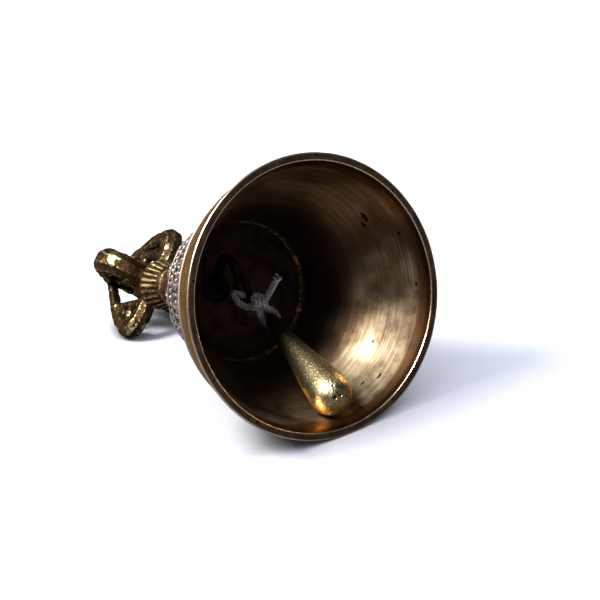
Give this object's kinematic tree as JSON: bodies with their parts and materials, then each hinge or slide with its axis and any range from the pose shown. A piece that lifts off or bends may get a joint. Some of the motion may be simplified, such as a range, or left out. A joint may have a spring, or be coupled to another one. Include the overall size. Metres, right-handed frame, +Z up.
{
  "type": "hand bell",
  "caption": "Small cast hand bell lying on its side: flared cup, four-pronged ritual handle, and a teardrop clapper hung inside on a knotted cord.",
  "frame": {"origin": "on the ground under the middle of the bell as it lies on its side", "axes": "+X the way the mouth faces along the ground, +Y across the bell, +Z up; the bell's own axis lies in the XZ plane and drops 12.73 degrees towards the handle"},
  "size_m": [0.1346, 0.075, 0.0732],
  "materials": {
    "shell_bronze": "aged, lathe turned inside",
    "handle_brass": "rough cast, worn bright on the edges",
    "eye_brass": "dark, as cast",
    "cotton_cord": "twisted, matte",
    "clapper_brass": "pebbled, as cast"
  },
  "bodies": {
    "bell": {"bell_shell": "shell_bronze", "vajra_handle": "handle_brass", "clapper_eye": "eye_brass"},
    "cord_top": {"cord_loop": "cotton_cord"},
    "cord_bottom": {"cord_knot": "cotton_cord"},
    "striker": {"clapper": "clapper_brass"}
  },
  "joints": [
    {"name": "cord_swing", "type": "hinge", "parent": "bell", "child": "cord_top", "pos_m": [0.01915, 0, 0.02762], "axis": [0, -1, 0], "range_deg": [0, 62]},
    {"name": "cord_sway", "type": "hinge", "parent": "cord_top", "child": "cord_bottom", "pos_m": [0.01915, 0, 0.02762], "axis": [-0.9754, 0, -0.2203], "range_deg": [-20, 20]},
    {"name": "clapper_swing", "type": "hinge", "parent": "cord_bottom", "child": "striker", "pos_m": [0.03348, 0, 0.02225], "axis": [0, -1, 0], "range_deg": [0, 16]}
  ]
}
